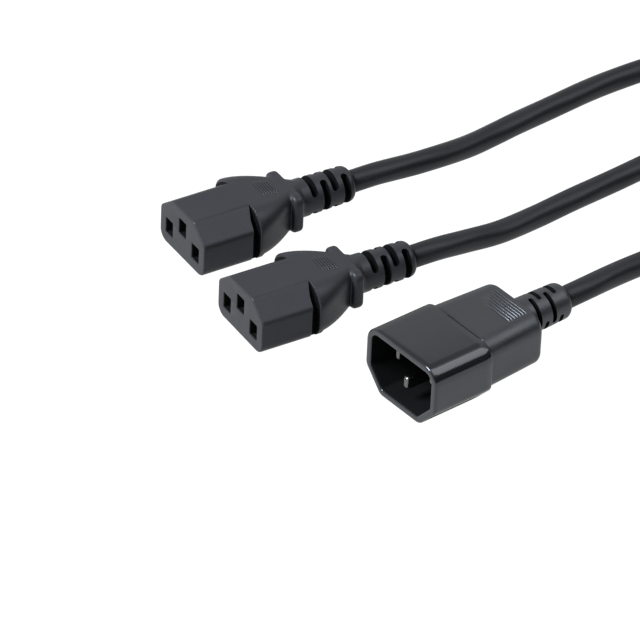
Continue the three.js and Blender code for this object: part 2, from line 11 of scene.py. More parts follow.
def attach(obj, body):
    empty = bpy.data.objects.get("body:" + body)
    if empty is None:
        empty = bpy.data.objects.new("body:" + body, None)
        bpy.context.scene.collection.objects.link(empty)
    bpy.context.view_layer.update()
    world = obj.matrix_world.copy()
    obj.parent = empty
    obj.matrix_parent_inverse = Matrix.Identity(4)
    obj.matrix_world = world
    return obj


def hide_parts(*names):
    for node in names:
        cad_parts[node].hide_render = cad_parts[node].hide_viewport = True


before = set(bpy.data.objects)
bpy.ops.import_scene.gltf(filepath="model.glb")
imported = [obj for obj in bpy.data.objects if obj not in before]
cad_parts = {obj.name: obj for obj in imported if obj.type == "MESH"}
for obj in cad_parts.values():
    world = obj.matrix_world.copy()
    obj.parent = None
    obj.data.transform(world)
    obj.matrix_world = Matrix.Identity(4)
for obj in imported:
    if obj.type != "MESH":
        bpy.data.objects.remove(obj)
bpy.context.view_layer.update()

MM = 0.001
scene = bpy.context.scene


# Camera

camera_data = bpy.data.cameras.new("camera")
camera_data.sensor_width = 36
camera_data.lens = 368.156
camera_data.clip_start = 0.1
camera_data.clip_end = 30
camera = bpy.data.objects.new("camera", camera_data)
camera.location = (-1.146206, -1.108827, 1.034456)
camera.rotation_euler = [math.radians(turn) for turn in (54.09885, -2.01943, -38.86988)]
scene.collection.objects.link(camera)
scene.camera = camera


# Cords

CORD_DIAMETER = 6.5
CORD_SIDES = 24
CORD_STEPS = 14
LAY_LENGTH = 75.0
SWELL = 0.05
FLOOR_LINE = CORD_DIAMETER / 2 + SWELL
CORD_ROUTES = {
    "leg_a_cord": [
        (-180.093, 19.166, 7.7), (-172.167, 18.081, 7.7), (-155.989, 16.817, 6.2), (-140.961, 17.264, 4.2),
        (-125.932, 18.511, FLOOR_LINE), (-103.018, 19.353, FLOOR_LINE), (-80.997, 19.163, FLOOR_LINE),
        (-61.951, 15.302, 4.2), (-44.989, 9.3, 6), (-38, 7.75, 6.5), (-31.3, 7.75, 6.5),
    ],
    "leg_b_cord": [
        (-189.272, -18.386, 7.7), (-181.358, -19.555, 7.7), (-170.947, -20.052, 6.4),
        (-157.993, -19.98, 4.2), (-142.986, -19.17, FLOOR_LINE), (-121.028, -18.691, FLOOR_LINE),
        (-100.018, -18.177, FLOOR_LINE), (-78.06, -15.598, FLOOR_LINE), (-60.051, -11.986, 4.2),
        (-45.044, -8.575, 6), (-38, -7.75, 6.5), (-31.3, -7.75, 6.5),
    ],
    "tail_cord": [
        (-172.5, -62.2, 12.2), (-164.5, -62.2, 12.2), (-149.55, -60.98, 11.2), (-129.584, -59.989, 8.6),
        (-111.453, -59.815, 5.2), (-93.322, -59.841, FLOOR_LINE), (-60.278, -60.024, FLOOR_LINE),
        (-20.11, -60.039, FLOOR_LINE), (19.82, -59.956, FLOOR_LINE), (57, -60, FLOOR_LINE),
        (78.213, -51.213, FLOOR_LINE), (87, -30, FLOOR_LINE), (78.213, -8.787, FLOOR_LINE),
        (62.012, -0.907, 4.6), (48.019, -0.002, 6.4), (37.3, 0, 6.5),
    ],
}


def centripetal(points, steps):
    """A smooth line through the points, the same kind of curve that the solids follow."""
    points = [Vector(p) for p in points]
    ends = [points[0] * 2 - points[1], *points, points[-1] * 2 - points[-2]]
    line = []
    for p0, p1, p2, p3 in zip(ends, ends[1:], ends[2:], ends[3:]):
        t0 = 0.0
        t1 = t0 + (p1 - p0).length ** 0.5
        t2 = t1 + (p2 - p1).length ** 0.5
        t3 = t2 + (p3 - p2).length ** 0.5
        for step in range(steps):
            t = t1 + (t2 - t1) * step / steps
            a1 = p0 * ((t1 - t) / (t1 - t0)) + p1 * ((t - t0) / (t1 - t0))
            a2 = p1 * ((t2 - t) / (t2 - t1)) + p2 * ((t - t1) / (t2 - t1))
            a3 = p2 * ((t3 - t) / (t3 - t2)) + p3 * ((t - t2) / (t3 - t2))
            b1 = a1 * ((t2 - t) / (t2 - t0)) + a2 * ((t - t0) / (t2 - t0))
            b2 = a2 * ((t3 - t) / (t3 - t1)) + a3 * ((t - t1) / (t3 - t1))
            line.append(b1 * ((t2 - t) / (t2 - t1)) + b2 * ((t - t1) / (t2 - t1)))
    line.append(points[-1])
    for point in line:
        point.z = max(point.z, FLOOR_LINE)
    return line


def cord_tube(name, route):
    """A sheath with the faint helical swell of the three twisted cores under it."""
    line = centripetal(route, CORD_STEPS)
    sides = CORD_SIDES
    verts, faces, spots = [], [], []
    travelled = 0.0
    side = Vector((0, 0, 1))
    for i, point in enumerate(line):
        ahead = line[min(i + 1, len(line) - 1)] - line[max(i - 1, 0)]
        ahead.normalize()
        side = (side - ahead * side.dot(ahead)).normalized()
        other = ahead.cross(side)
        if i:
            travelled += (point - line[i - 1]).length
        for s in range(sides):
            angle = 2 * math.pi * s / sides
            twist = angle + 2 * math.pi * travelled / LAY_LENGTH
            radius = CORD_DIAMETER / 2 + SWELL * math.cos(3 * twist)
            out = side * math.cos(angle) + other * math.sin(angle)
            verts.append((point + out * radius) * MM)
            spots.append((travelled, s / sides))
    for i in range(len(line) - 1):
        for s in range(sides):
            a, b = i * sides + s, i * sides + (s + 1) % sides
            faces.append((a, b, b + sides, a + sides))
    last = (len(line) - 1) * sides
    faces.append(tuple(reversed(range(sides))))
    faces.append(tuple(range(last, last + sides)))
    mesh = bpy.data.meshes.new(name)
    mesh.from_pydata(verts, [], faces)
    along = mesh.uv_layers.new(name="along")
    for face in mesh.polygons:
        face.use_smooth = len(face.vertices) == 4
        for loop in face.loop_indices:
            vertex = mesh.loops[loop].vertex_index
            travel, round_part = spots[vertex]
            wraps = len(face.vertices) == 4 and vertex % sides == 0 and face.index % sides == sides - 1
            along.data[loop].uv = (travel * MM, 1.0 if wraps else round_part)
    obj = bpy.data.objects.new(name, mesh)
    scene.collection.objects.link(obj)
    return obj, [tuple(p * MM) for p in line]


# Outlines, lofts and other solids in millimetres

ARC_STEPS = 10


def rounded(corners, steps=ARC_STEPS):
    """Rounds each corner (y, z, radius) of an anticlockwise outline."""
    points = []
    for i, (y, z, radius) in enumerate(corners):
        here = Vector((y, z))
        before = (Vector(corners[i - 1][:2]) - here).normalized()
        after = (Vector(corners[(i + 1) % len(corners)][:2]) - here).normalized()
        half = before.angle(after) / 2
        centre = here + (before + after).normalized() * (radius / math.sin(half))
        start = here + before * (radius / math.tan(half)) - centre
        for step in range(steps + 1):
            turned_by = Matrix.Rotation((math.pi - 2 * half) * step / steps, 2)
            points.append(centre + turned_by @ start)
    return points


def box_outline(width, height, top, foot, middle, steps=ARC_STEPS, across=0.0):
    side, high, low = width / 2, middle + height / 2, middle - height / 2
    return rounded([
        (across + side, low, foot), (across + side, high, top),
        (across - side, high, top), (across - side, low, foot),
    ], steps)


def keyed_outline(size, key_at_top, middle, by=0.0, steps=ARC_STEPS):
    """A rectangle with two cut corners, drawn in by a distance."""
    width, height = size["width"] - 2 * by, size["height"] - 2 * by
    plain_radius, key_radius = max(size["plain"] - by, 0.3), max(size["key"] - by, 0.3)
    up = 1 if key_at_top else -1
    side, key, plain = width / 2, middle + up * height / 2, middle - up * height / 2
    corners = [
        (side, plain, plain_radius),
        (side, key - up * size["high"], key_radius),
        (side - size["wide"], key, key_radius),
        (-side + size["wide"], key, key_radius),
        (-side, key - up * size["high"], key_radius),
        (-side, plain, plain_radius),
    ]
    return rounded(corners if key_at_top else corners[::-1], steps)


def mesh_object(name, verts, faces):
    mesh = bpy.data.meshes.new(name)
    mesh.from_pydata([tuple(v) for v in verts], [], faces)
    mesh.validate()
    obj = bpy.data.objects.new(name, mesh)
    scene.collection.objects.link(obj)
    return obj


def loft(name, sections):
    """Joins outlines (x, points) with equal point counts and closes both ends."""
    count = len(sections[0][1])
    verts = [(x, p[0], p[1]) for x, outline in sections for p in outline]
    faces = []
    for s in range(len(sections) - 1):
        for i in range(count):
            a, b = s * count + i, s * count + (i + 1) % count
            faces.append((a, b, b + count, a + count))
    last = (len(sections) - 1) * count
    faces.append(tuple(reversed(range(count))))
    faces.append(tuple(range(last, last + count)))
    return mesh_object(name, verts, faces)


def block(name, x0, x1, y0, y1, z0, z1):
    return loft(name, [(x, [(y0, z0), (y1, z0), (y1, z1), (y0, z1)]) for x in (x0, x1)])


def turned(name, profile, y, z, sides=48):
    """A turned piece along X. The profile lists (x, radius) and each end closes on a flat."""
    sections = []
    for x, radius in profile:
        ring = [2 * math.pi * i / sides for i in range(sides)]
        sections.append((x, [(y + radius * math.cos(a), z + radius * math.sin(a)) for a in ring]))
    return loft(name, sections)


def settle(obj):
    """Applies an object's modifiers."""
    graph = bpy.context.evaluated_depsgraph_get()
    graph.update()
    done = bpy.data.meshes.new_from_object(obj.evaluated_get(graph))
    obj.modifiers.clear()
    old = obj.data
    obj.data = done
    bpy.data.meshes.remove(old)


def combine(target, tool, operation):
    """Adds or cuts a tool and deletes it."""
    cut = target.modifiers.new("combine", "BOOLEAN")
    cut.operation = operation
    cut.solver = "MANIFOLD"
    cut.object = tool
    settle(target)
    mesh = tool.data
    bpy.data.objects.remove(tool)
    bpy.data.meshes.remove(mesh)


def add(target, *tools):
    for tool in tools:
        combine(target, tool, "UNION")


def cut(target, *tools):
    for tool in tools:
        combine(target, tool, "DIFFERENCE")


SOFT_VOXEL = 0.25
SOFT_ROUNDS = 3
KEPT_SHARE = 0.5
SHARP_ANGLE = 40


def quarter(radius, steps):
    """(forward, inward) of a rounded edge, from the front face to the side."""
    return [
        (radius * (1 - math.cos(a)), radius * (1 - math.sin(a)))
        for a in (math.pi / 2 * i / steps for i in range(steps + 1))
    ]


def mixed(start, end, share):
    """A value between two."""
    return start + (end - start) * share


def soften(obj, voxel, rounds):
    """Rounds every edge a little, as a moulded edge is."""
    remesh = obj.modifiers.new("remesh", "REMESH")
    remesh.mode = "VOXEL"
    remesh.voxel_size = voxel
    remesh.adaptivity = 0
    smooth = obj.modifiers.new("smooth", "SMOOTH")
    smooth.factor = 0.5
    smooth.iterations = rounds
    settle(obj)


def thin_out(obj, share):
    """Keeps a share of the faces where the surface is smooth."""
    fewer = obj.modifiers.new("fewer", "DECIMATE")
    fewer.ratio = share
    settle(obj)


def shade(obj, angle):
    """Smooth shading with sharp edges past an angle in degrees."""
    for face in obj.data.polygons:
        face.use_smooth = True
    obj.data.set_sharp_from_angle(angle=math.radians(angle))


def paint_recess_shade(obj, inside):
    """Gives the faces of a recess, told by their middle, the second material: painted shade, a near-black
    colour standing in for the shade inside grooves, openings, slots and the cavity.
    """
    for face in obj.data.polygons:
        if inside(*face.center):
            face.material_index = 1


def place(obj, x, y, turn):
    """Puts a connector's piece at its place in the row's frame, in metres."""
    obj.data.transform(
        Matrix.Scale(MM, 4) @ Matrix.Translation((x, y, 0)) @ Matrix.Rotation(math.radians(turn), 4, "Z")
    )
    obj.data.update()


# Strain relief

RELIEF_DIAMETER = 11.2
RELIEF_END_DIAMETER = 10.4
RELIEF_END_RADIUS = 1.8
RELIEF_ROUND_STEPS = 6
SLOT_FLOOR_RADIUS = 2.2
SLOT_STEPS = 18
SLOT_END_SIDES = 16
RECESS_SKIN = 0.25
TOUCH = 0.05


def relief(name, start, end, y, z):
    """A tapered strain relief that starts inside the moulding and ends in a rounded edge."""
    start_radius, end_radius = RELIEF_DIAMETER / 2, RELIEF_END_DIAMETER / 2
    profile = [(start - RELIEF_DIAMETER / 4, start_radius), (end - RELIEF_END_RADIUS, end_radius)]
    for step in range(1, RELIEF_ROUND_STEPS + 1):
        angle = math.pi / 2 * step / RELIEF_ROUND_STEPS
        profile.append((
            end - RELIEF_END_RADIUS * (1 - math.sin(angle)),
            end_radius - RELIEF_END_RADIUS * (1 - math.cos(angle)),
        ))
    return turned(name, profile, y, z)


def ring_slot(at, middle_angle, span, z, slot_width):
    """A slot round part of a strain relief with round ends. Angles are degrees from up towards +Y."""
    deep, wide = SLOT_FLOOR_RADIUS, RELIEF_DIAMETER
    reach = math.degrees(slot_width / RELIEF_DIAMETER)
    start = math.radians(middle_angle - span / 2 + reach)
    end = math.radians(middle_angle + span / 2 - reach)
    angles = [start + (end - start) * i / SLOT_STEPS for i in range(SLOT_STEPS + 1)]
    half = slot_width / 2
    corners = [(-half, deep), (half, deep), (half, wide), (-half, wide)]
    verts, faces = [], []
    for angle in angles:
        for x, radius in corners:
            verts.append((at + x, radius * math.sin(angle), z + radius * math.cos(angle)))
    for i in range(SLOT_STEPS):
        for c in range(4):
            a, b = 4 * i + c, 4 * i + (c + 1) % 4
            faces.append((a, b, b + 4, a + 4))
    faces.append((3, 2, 1, 0))
    faces.append(tuple(4 * SLOT_STEPS + c for c in range(4)))
    slot = mesh_object("slot", verts, faces)
    fix_normals(slot)
    count = SLOT_END_SIDES
    ring = [2 * math.pi * i / count for i in range(count)]
    for angle in (start, end):
        out = Vector((0, math.sin(angle), math.cos(angle)))
        across = Vector((0, math.cos(angle), -math.sin(angle)))
        ends = []
        for radius in (deep, wide):
            centre = Vector((at, 0, z)) + out * radius
            ends += [
                centre + Vector((half * math.cos(a), 0, 0)) + across * (half * math.sin(a)) for a in ring
            ]
        walls = [(i, (i + 1) % count, count + (i + 1) % count, count + i) for i in range(count)]
        caps = [tuple(reversed(range(count))), tuple(range(count, 2 * count))]
        round_end = mesh_object("end", ends, walls + caps)
        fix_normals(round_end)
        add(slot, round_end)
    return slot


def slot_relief(piece, z, slot_width, places, turn, spans):
    """Rings of slots, two facing slots in each, with every other ring turned by a quarter."""
    for ring, at in enumerate(places):
        middle = turn + 90 * (ring % 2)
        for angle in (middle, middle + 180):
            cut(piece, ring_slot(at, angle, spans[ring % 2], z, slot_width))


def in_ring_slot(x, y, z, places, slot_width, start, end):
    """Whether a point is on a wall or the floor of one of a relief's slots, where shade is painted."""
    share = (x - start) / (end - start)
    skin = (RELIEF_DIAMETER + (RELIEF_END_DIAMETER - RELIEF_DIAMETER) * share) / 2 - RECESS_SKIN
    near = any(abs(x - at) < slot_width / 2 + TOUCH for at in places)
    return near and math.hypot(y, z) < skin


def fix_normals(obj):
    """Turns every face outwards."""
    bm = bmesh.new()
    bm.from_mesh(obj.data)
    bmesh.ops.recalc_face_normals(bm, faces=bm.faces)
    bm.to_mesh(obj.data)
    bm.free()


RIB_WIDTH = 0.45
RIB_HEIGHT = 0.28
RIB_CHAMFER = 0.1
RIB_ROOT = 0.5
RIB_END_DROP = 0.3
RIB_END_LENGTH = 0.6


def rib(at, low_y, high_y, top):
    """One fine rib across the grip, with chamfered edges and sloping ends."""
    half, shoulder = RIB_WIDTH / 2, RIB_WIDTH / 2 - RIB_CHAMFER
    sections = []
    for y, drop in (
        (low_y, RIB_END_DROP), (low_y + RIB_END_LENGTH, 0),
        (high_y - RIB_END_LENGTH, 0), (high_y, RIB_END_DROP),
    ):
        crown = top + RIB_HEIGHT - drop
        sections.append((y, [
            (at - half, top - RIB_ROOT), (at + half, top - RIB_ROOT),
            (at + half, crown - RIB_CHAMFER), (at + shoulder, crown),
            (at - shoulder, crown), (at - half, crown - RIB_CHAMFER),
        ]))
    verts = [(x, y, z) for y, outline in sections for x, z in outline]
    faces = []
    for s in range(3):
        for i in range(6):
            a, b = 6 * s + i, 6 * s + (i + 1) % 6
            faces.append((a, b, b + 6, a + 6))
    faces += [tuple(range(5, -1, -1)), tuple(range(18, 24))]
    obj = mesh_object("rib", verts, faces)
    fix_normals(obj)
    return obj


# Socket

SOCKET = {"width": 23.8, "height": 15.4, "wide": 6.1, "high": 4.8, "key": 1.7, "plain": 3.2}
SOCKET_AXIS = 7.7
FACE_EDGE = 0.2
POLES = {"live": (7, -2), "neutral": (-7, -2), "earth": (0, 2)}
OPENING_WIDTH = 3.8
OPENING_HEIGHT = 5
OPENING_CORNER = 0.35
OPENING_CORNER_STEPS = 4
OPENING_LEAD_IN = 0.2
POCKET_WALL = 1.2
POCKET_START = 1.9
POCKET_END = 15.1

SHOULDER_AT = 17.6
SHOULDER = {"width": 25.4, "height": 15.4, "top": 6.2, "foot": 5.2}
WAIST_AT = 30.8
WAIST = {"width": 12.8, "height": 12.6, "radius": 2.8}
TAPER_ACROSS = 1.5
TAPER_UP = 1.6
TAPER_STEPS = 14
EARS = {"width": 16.8, "height": 11.8, "radius": 2.2, "thickness": 3.2, "edge": 1, "rise": 0.3}
SOCKET_RELIEF_AT = 35.8
SOCKET_RELIEF_CORNER = RELIEF_DIAMETER / 2 - 0.02
SOCKET_LENGTH = 53
SOCKET_SLOTS = (39.5, 43.15, 46.2, 49.85)
SOCKET_SLOT_WIDTH = 2.1
SOCKET_SLOT_SPANS = (128, 142)
SOCKET_RIBS = {"count": 6, "first": 24, "pitch": 0.83, "reach": 3.3}

GROOVE_WIDTH = 2.1
GROOVE_DEPTH = 2.2
GROOVE_REACH = 24
GROOVE_OUTLINE = [
    (SHOULDER_AT - GROOVE_WIDTH, -2), (SHOULDER_AT, -2), (SHOULDER_AT, 15.5),
    (SHOULDER_AT - 0.15, 15.5), (SHOULDER_AT - 1.5, 12.8), (SHOULDER_AT - GROOVE_WIDTH, 9.6),
]

def socket_back_size(x):
    """Width and height between the shoulder and the waist."""
    along = min(max((x - SHOULDER_AT) / (WAIST_AT - SHOULDER_AT), 0), 1)
    return (
        mixed(SHOULDER["width"], WAIST["width"], along ** TAPER_ACROSS),
        mixed(SHOULDER["height"], WAIST["height"], along ** TAPER_UP),
    )


def in_socket_recess(x, y, z):
    """Whether a point is on a wall of the groove, an opening or a slot, where shade is painted."""
    if SHOULDER_AT - GROOVE_WIDTH - TOUCH < x < SHOULDER_AT + TOUCH:
        side, top = SOCKET["width"] / 2 - RECESS_SKIN, SOCKET["height"] - RECESS_SKIN
        under_key = SOCKET["high"] / SOCKET["wide"] * (side - abs(y)) - SOCKET["high"]
        return abs(y) < side and RECESS_SKIN < z < top and z - top < under_key
    wide, tall = OPENING_WIDTH / 2 + TOUCH, OPENING_HEIGHT / 2 + TOUCH
    if OPENING_LEAD_IN + 0.1 < x < POCKET_START + TOUCH:
        for across, up in POLES.values():
            if abs(y - across) < wide and abs(z - SOCKET_AXIS - up) < tall:
                return True
    return in_ring_slot(
        x, y, z - SOCKET_AXIS, SOCKET_SLOTS, SOCKET_SLOT_WIDTH, SOCKET_RELIEF_AT, SOCKET_LENGTH,
    )


def socket_groove():
    """The pointed groove ahead of the shoulder, which leaves the flat top whole."""
    top = SOCKET["height"]
    side = SOCKET["width"] / 2 - GROOVE_DEPTH
    lip = top - SOCKET["high"] - GROOVE_DEPTH / 2
    flat = SOCKET["width"] / 2 - SOCKET["wide"]
    core = loft("core", [(x, [
        (side, -1), (side, lip), (flat, top), (flat, top + 1),
        (-flat, top + 1), (-flat, top), (-side, lip), (-side, -1),
    ]) for x in (SHOULDER_AT - GROOVE_WIDTH - 0.5, SHOULDER_AT + 1)])
    count = len(GROOVE_OUTLINE)
    verts = [(x, y, z) for y in (-GROOVE_REACH, GROOVE_REACH) for x, z in GROOVE_OUTLINE]
    faces = [tuple(range(count)), tuple(range(2 * count - 1, count - 1, -1))]
    for i in range(count):
        last = (i - 1) % count
        faces.append((i, last, count + last, count + i))
    ring = mesh_object("ring", verts, faces)
    fix_normals(ring)
    cut(ring, core)
    return ring


def socket_back():
    """The taper from the shoulder to the waist and on into the strain relief."""
    sections = []
    for step in range(TAPER_STEPS + 1):
        share = step / TAPER_STEPS
        x = mixed(SHOULDER_AT, WAIST_AT, share)
        width, height = socket_back_size(x)
        top = mixed(SHOULDER["top"], WAIST["radius"], share)
        foot = mixed(SHOULDER["foot"], WAIST["radius"], share)
        sections.append((x, box_outline(width, height, top, foot, SOCKET_AXIS)))
    round_end = box_outline(
        RELIEF_DIAMETER, RELIEF_DIAMETER, SOCKET_RELIEF_CORNER, SOCKET_RELIEF_CORNER, SOCKET_AXIS,
    )
    return loft("back", sections + [(SOCKET_RELIEF_AT, round_end)])


def socket_ears():
    edge = quarter(EARS["edge"], 5)
    sections = []
    for x, by in edge + [(EARS["thickness"] - x, by) for x, by in edge[::-1]]:
        radius = EARS["radius"] - by
        sections.append((WAIST_AT + x, box_outline(
            EARS["width"] - 2 * by, EARS["height"] - 2 * by, radius, radius, SOCKET_AXIS + EARS["rise"],
        )))
    return loft("ears", sections)


def socket_opening(y, z):
    """One slot of the face, with a small rounded lead-in."""
    lead = OPENING_LEAD_IN
    steps = [(-1, 0.75), (0, lead + 0.02)]
    arc = (0.3, 0.6, 0.9, 1.2, math.pi / 2)
    steps += [(lead * (1 - math.cos(a)), lead * (1 - math.sin(a))) for a in arc]
    steps += [(0.35, 0), (3.2, 0)]
    return loft("opening", [
        (x, box_outline(
            OPENING_WIDTH + 2 * by, OPENING_HEIGHT + 2 * by, OPENING_CORNER, OPENING_CORNER,
            SOCKET_AXIS + z, OPENING_CORNER_STEPS, y,
        )) for x, by in steps
    ])


def socket_overmould():
    body = loft("socket", [
        (0, keyed_outline(SOCKET, True, SOCKET_AXIS, FACE_EDGE)),
        (FACE_EDGE, keyed_outline(SOCKET, True, SOCKET_AXIS)),
        (SHOULDER_AT + 1.6, keyed_outline(SOCKET, True, SOCKET_AXIS)),
    ])
    tail = relief("relief", SOCKET_RELIEF_AT, SOCKET_LENGTH, 0, SOCKET_AXIS)
    add(body, socket_back(), socket_ears(), tail)
    soften(body, SOFT_VOXEL, SOFT_ROUNDS)
    thin_out(body, KEPT_SHARE)
    cut(body, socket_groove())
    slot_relief(body, SOCKET_AXIS, SOCKET_SLOT_WIDTH, SOCKET_SLOTS, 0, SOCKET_SLOT_SPANS)
    for i in range(SOCKET_RIBS["count"]):
        at = SOCKET_RIBS["first"] + SOCKET_RIBS["pitch"] * i
        top = SOCKET_AXIS + socket_back_size(at)[1] / 2
        add(body, rib(at, -SOCKET_RIBS["reach"], SOCKET_RIBS["reach"], top))
    cut(body, loft("pocket", [
        (x, keyed_outline(SOCKET, True, SOCKET_AXIS, POCKET_WALL)) for x in (POCKET_START, POCKET_END)
    ]))
    for y, z in POLES.values():
        cut(body, socket_opening(y, z))
    shade(body, SHARP_ANGLE)
    # The walls of the groove, openings and slots get the painted shade.
    paint_recess_shade(body, in_socket_recess)
    return body


# Plug

CAVITY = {"width": 24.8, "height": 16, "wide": 5, "high": 5.6, "key": 1.4, "plain": 2.6}
WALL = 2
KEY_SHIFT = WALL * (1 - math.tan(math.pi / 8))
SHROUD = {
    "width": CAVITY["width"] + 2 * WALL, "height": CAVITY["height"] + 2 * WALL,
    "wide": CAVITY["wide"] + KEY_SHIFT, "high": CAVITY["high"] + KEY_SHIFT, "key": 3, "plain": 5,
}
PLUG_AXIS = SHROUD["height"] / 2
SHROUD_LENGTH = 19.8
SHROUD_CORNER_STEPS = 12
RIM_RADIUS = 0.6
RIM_INNER_RADIUS = 0.35
CAVITY_DEPTH = 16.6
CAVITY_FLOOR_EDGE = 0.4
SEAM_WIDTH = 0.4
SEAM_FROM, SEAM_TO, SEAM_FLOOR = -8.5, 4.5, 19.3

PLUG_PINS = {"live": (7, 2, 4.4), "neutral": (-7, 2, 4.4), "earth": (0, -2, 1.6)}
PIN_THICK = 2
PIN_TALL = 4
PIN_RADIUS = 0.42
PIN_CLEARANCE = 0.1
PIN_END = 34.8
PIN_CORNER_STEPS = 6
PIN_NOSE = (
    (0, 0.85, 1.1), (0.08, 0.68, 0.85), (0.3, 0.42, 0.52), (0.7, 0.2, 0.25), (1.3, 0.06, 0.08), (2, 0, 0),
)

GRIP = {
    "start": SHROUD_LENGTH + 0.05, "end": 39.9, "end_radius": 2, "middle": 11.85, "height": 16.1,
    "start_width": 25.9, "end_width": 23.5, "top": 4.8, "foot": 4.5,
}
GRIP_RIBS = {"first": 31.1, "pitch": 0.98, "near": -7.4, "far": (0.6, 2.4, 3.8, 4.4, 5, 5.6, 6.2)}
PLUG_RELIEF_AXIS = 12.2
PLUG_RELIEF_AT = 41.4
PLUG_LENGTH = 56.2
PLUG_SLOTS = (44, 46.6, 49.2, 51.8)
PLUG_SLOT_WIDTH = 1.4
PLUG_SLOT_TURN = -56
PLUG_SLOT_SPANS = (108, 108)


def in_cavity(x, y, z):
    """Whether a point is on a wall or the floor of the cavity, where shade is painted."""
    side, high = CAVITY["width"] / 2 + TOUCH, CAVITY["height"] / 2 + TOUCH
    inside = abs(y) < side and abs(z - PLUG_AXIS) < high
    return inside and RIM_INNER_RADIUS + TOUCH < x < CAVITY_DEPTH + TOUCH


def plug_shroud():
    """One closed skin: outer wall, rounded rim, cavity wall and floor."""
    def outer_at(x, by=0.0):
        return x, keyed_outline(SHROUD, False, PLUG_AXIS, by, SHROUD_CORNER_STEPS)

    def inner_at(x, by=0.0):
        return x, keyed_outline(CAVITY, False, PLUG_AXIS, by, SHROUD_CORNER_STEPS)

    outer = [outer_at(x, by) for x, by in quarter(RIM_RADIUS, 6)]
    outer += [outer_at(x) for x in (2, 9.9, 17.5, 19.4)]
    outer += [outer_at(19.6, 0.08), outer_at(SHROUD_LENGTH, 0.25)]
    inner = [inner_at(x, -by) for x, by in quarter(RIM_INNER_RADIUS, 4)]
    inner += [inner_at(x) for x in (1, 8, CAVITY_DEPTH - CAVITY_FLOOR_EDGE)]
    inner.append(inner_at(CAVITY_DEPTH, CAVITY_FLOOR_EDGE))
    sections = outer[::-1] + inner
    count = len(sections[0][1])
    verts = [(x, p[0], p[1]) for x, outline in sections for p in outline]
    faces = []
    for s in range(len(sections) - 1):
        for i in range(count):
            a, b = s * count + i, s * count + (i + 1) % count
            faces.append((a, b, b + count, a + count))
    last = (len(sections) - 1) * count
    faces.append(tuple(reversed(range(count))))
    faces.append(tuple(range(last, last + count)))
    body = mesh_object("shroud", verts, faces)
    fix_normals(body)
    for y, z, _ in PLUG_PINS.values():
        cut(body, loft("hole", [
            (x, box_outline(
                PIN_THICK + PIN_CLEARANCE, PIN_TALL + PIN_CLEARANCE, 0.5, 0.5, PLUG_AXIS + z, 5, y,
            )) for x in (CAVITY_DEPTH - 1, SHROUD_LENGTH + 1.2)
        ]))
    seam_end = SHROUD_LENGTH - TOUCH
    cut(body, block("seam", seam_end - SEAM_WIDTH, seam_end, SEAM_FROM, SEAM_TO, SEAM_FLOOR, 21))
    shade(body, SHARP_ANGLE + 2)
    # The cavity's walls and floor get the painted shade.
    paint_recess_shade(body, in_cavity)
    return body


def plug_pin(name, y, z, tip):
    """A blade with a rounded, tapered tip."""
    sections = []
    for x, thin, low in PIN_NOSE:
        radius = PIN_RADIUS - 0.3 * thin
        sections.append((tip + x, box_outline(
            PIN_THICK - 2 * thin, PIN_TALL - 2 * low, radius, radius, PLUG_AXIS + z, PIN_CORNER_STEPS, y,
        )))
    sections.append((PIN_END, box_outline(
        PIN_THICK, PIN_TALL, PIN_RADIUS, PIN_RADIUS, PLUG_AXIS + z, PIN_CORNER_STEPS, y,
    )))
    pin = loft(name, sections)
    shade(pin, SHARP_ANGLE - 5)
    return pin


def grip_outline(x, by):
    share = (x - GRIP["start"]) / (GRIP["end"] - GRIP["start"])
    width = mixed(GRIP["start_width"], GRIP["end_width"], share)
    return box_outline(
        width - 2 * by, GRIP["height"] - 2 * by, GRIP["top"] - by / 2, GRIP["foot"] - by, GRIP["middle"],
    )


def plug_overmould():
    end, end_radius = GRIP["end"], GRIP["end_radius"]
    sections = [(x, grip_outline(x, 0)) for x in (GRIP["start"], end - end_radius)]
    for step in range(1, 11):
        angle = math.pi / 2 * step / 10
        x = end - end_radius * (1 - math.sin(angle))
        sections.append((x, grip_outline(x, end_radius * (1 - math.cos(angle)))))
    body = loft("grip", sections)
    add(body, relief("relief", PLUG_RELIEF_AT, PLUG_LENGTH, 0, PLUG_RELIEF_AXIS))
    soften(body, SOFT_VOXEL, SOFT_ROUNDS)
    thin_out(body, KEPT_SHARE)
    slot_relief(body, PLUG_RELIEF_AXIS, PLUG_SLOT_WIDTH, PLUG_SLOTS, PLUG_SLOT_TURN, PLUG_SLOT_SPANS)
    for i, far in enumerate(GRIP_RIBS["far"]):
        at = GRIP_RIBS["first"] + GRIP_RIBS["pitch"] * i
        add(body, rib(at, GRIP_RIBS["near"], far, GRIP["middle"] + GRIP["height"] / 2))
    shade(body, SHARP_ANGLE)
    # The slots' walls and floors get the painted shade.
    paint_recess_shade(body, lambda x, y, z: in_ring_slot(
        x, y, z - PLUG_RELIEF_AXIS, PLUG_SLOTS, PLUG_SLOT_WIDTH, PLUG_RELIEF_AT, PLUG_LENGTH,
    ))
    return body


# Junction

JUNCTION = {
    "length": 38, "leg_width": 29, "tail_width": 17, "height": 13, "radius": 4.5, "edge": 1.2,
    "leg_spacing": 15.5, "leg_collar": 12, "tail_collar": 18,
}


def junction_outline(width, by=0.0):
    height, radius = JUNCTION["height"], JUNCTION["radius"] - by
    return box_outline(width - 2 * by, height - 2 * by, radius, radius, height / 2)


